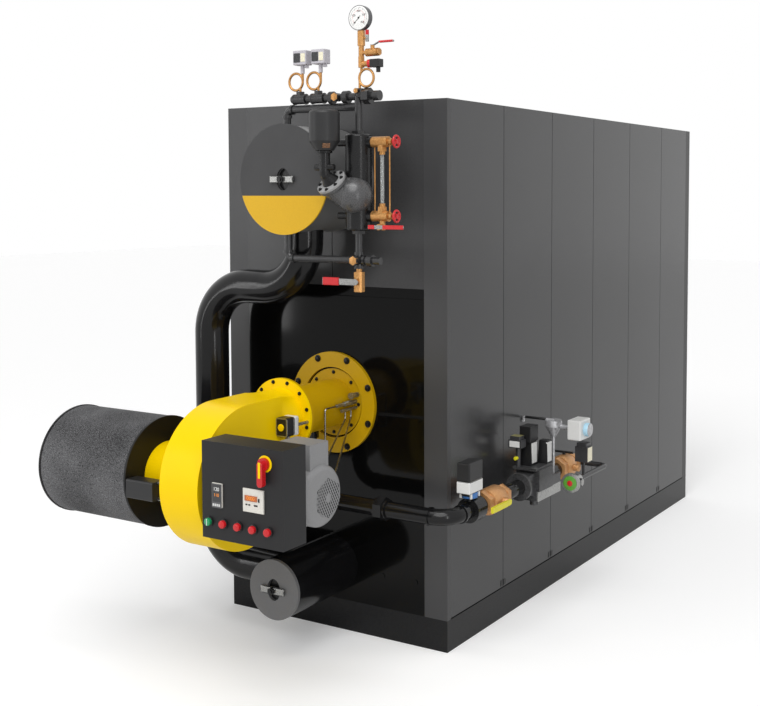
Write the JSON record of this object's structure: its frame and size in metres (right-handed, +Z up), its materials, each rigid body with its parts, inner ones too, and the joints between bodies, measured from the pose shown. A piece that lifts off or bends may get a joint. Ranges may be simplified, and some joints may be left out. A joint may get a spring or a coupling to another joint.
{
  "type": "industrial boiler",
  "caption": "Watertube steam boiler on a skid: panelled rectangular casing, front drums, scroll-fan burner with intake silencer, water column, control panel and gas train.",
  "frame": {"origin": "the middle of the base skid footprint, at floor level", "axes": "X to the right seen from the burner front, Y from the burner front to the back, Z up"},
  "size_m": [1.872, 4.27, 2.875],
  "materials": {
    "base_black": "satin black paint",
    "black_plastic": "matte black plastic",
    "brass": "brass",
    "casing_grey": "satin charcoal powder coat",
    "cast_black": "black cast iron",
    "copper": "copper-coloured bronze",
    "cover_grey": "speckled dark grey insulation cover",
    "dial_white": "white dial in a black case",
    "drum_grey": "light grey shell",
    "foam": "speckled acoustic foam",
    "glass": "clear glass tube",
    "gloss_black": "glossy black enamelled plate",
    "light_plastic": "light grey plastic",
    "motor_grey": "grey motor paint",
    "pipe_black": "satin black pipe paint",
    "red": "red",
    "steel": "steel",
    "yellow": "gloss yellow",
    "yellow_plastic": "yellow sleeve"
  },
  "bodies": {
    "boiler": {"base_skid": "base_black", "blast_tube": "yellow", "blowdown_valve": "brass", "burner_fittings": "steel", "burner_mounting_ring": "yellow", "burner_tubing": "steel", "casing_core": "base_black", "corner_posts": "casing_grey", "damper_drive": "black_plastic", "downcomer_pipe": "pipe_black", "drum_heads": "cast_black", "equalizing_pipes": "pipe_black", "fan_housing": "yellow", "fan_motor": "motor_grey", "float_chamber": "cast_black", "float_switch_box": "black_plastic", "float_switch_neck": "cast_black", "front_band": "gloss_black", "front_lower_plate": "gloss_black", "front_upper_panels": "casing_grey", "gas_actuators": "black_plastic", "gas_ball_valves": "copper", "gas_butterfly_valve": "cast_black", "gas_pipes": "pipe_black", "gas_pressure_switches": "light_plastic", "gas_valve_block": "cast_black", "gas_vent_valve": "light_plastic", "gauge_fittings": "brass", "gauge_glass": "glass", "gauge_glass_valves": "brass", "handhole_covers": "cast_black", "lower_drum_shell": "pipe_black", "manifold": "pipe_black", "panel_box": "black_plastic", "panel_bracket": "black_plastic", "pilot_gas_line": "pipe_black", "pressure_gauge": "dial_white", "pressure_switches": "light_plastic", "rear_cover": "base_black", "roof_connections": "base_black", "roof_panels": "casing_grey", "side_panels": "casing_grey", "silencer_body": "foam", "silencer_end_plates": "base_black", "siphons": "brass", "upper_drum_cover": "cover_grey", "upper_drum_cover_segment": "yellow", "upper_drum_shell": "drum_grey", "water_column": "cast_black"},
    "panel_door": {"panel_door": "black_plastic", "panel_instruments": "dial_white"},
    "disconnect_handle": {"disconnect_handle": "red"},
    "blowdown_lever": {"blowdown_lever": "red"},
    "gauge_test_lever": {"gauge_test_lever": "red"},
    "upper_glass_handwheel": {"upper_glass_handwheel": "red"},
    "lower_glass_handwheel": {"lower_glass_handwheel": "red"},
    "glass_drain_handle": {"glass_drain_handle": "red"},
    "gas_valve_1_handle": {"gas_valve_1_handle": "yellow_plastic"},
    "gas_valve_2_handle": {"gas_valve_2_handle": "black_plastic"}
  },
  "joints": [
    {"name": "panel_door_hinge", "type": "hinge", "parent": "boiler", "child": "panel_door", "pos_m": [0.1465, -2.627, 0.928], "axis": [0, 0, 1], "range_deg": [-110, 0]},
    {"name": "disconnect_turn", "type": "hinge", "parent": "panel_door", "child": "disconnect_handle", "pos_m": [0.471, -2.647, 1.062], "axis": [0, 1, 0], "range_deg": [0, 90]},
    {"name": "blowdown_turn", "type": "hinge", "parent": "boiler", "child": "blowdown_lever", "pos_m": [0.386, -1.938, 1.699], "axis": [0, -1, 0], "range_deg": [0, 90]},
    {"name": "gauge_test_turn", "type": "hinge", "parent": "boiler", "child": "gauge_test_lever", "pos_m": [0.461, -1.912, 2.706], "axis": [0, 0, 1], "range_deg": [-90, 0]},
    {"name": "upper_glass_turn", "type": "hinge", "parent": "boiler", "child": "upper_glass_handwheel", "pos_m": [0.574, -1.912, 2.297], "axis": [1, 0, 0], "range_deg": [0, 720]},
    {"name": "lower_glass_turn", "type": "hinge", "parent": "boiler", "child": "lower_glass_handwheel", "pos_m": [0.574, -1.912, 1.983], "axis": [1, 0, 0], "range_deg": [0, 720]},
    {"name": "glass_drain_turn", "type": "hinge", "parent": "boiler", "child": "glass_drain_handle", "pos_m": [0.508, -1.942, 1.937], "axis": [0, 1, 0], "range_deg": [0, 90]},
    {"name": "gas_valve_1_turn", "type": "hinge", "parent": "boiler", "child": "gas_valve_1_handle", "pos_m": [0.851, -1.402, 0.682], "axis": [1, 0, 0], "range_deg": [0, 90]},
    {"name": "gas_valve_2_turn", "type": "hinge", "parent": "boiler", "child": "gas_valve_2_handle", "pos_m": [0.763, -0.642, 0.756], "axis": [0, 0, 1], "range_deg": [0, 90]}
  ]
}
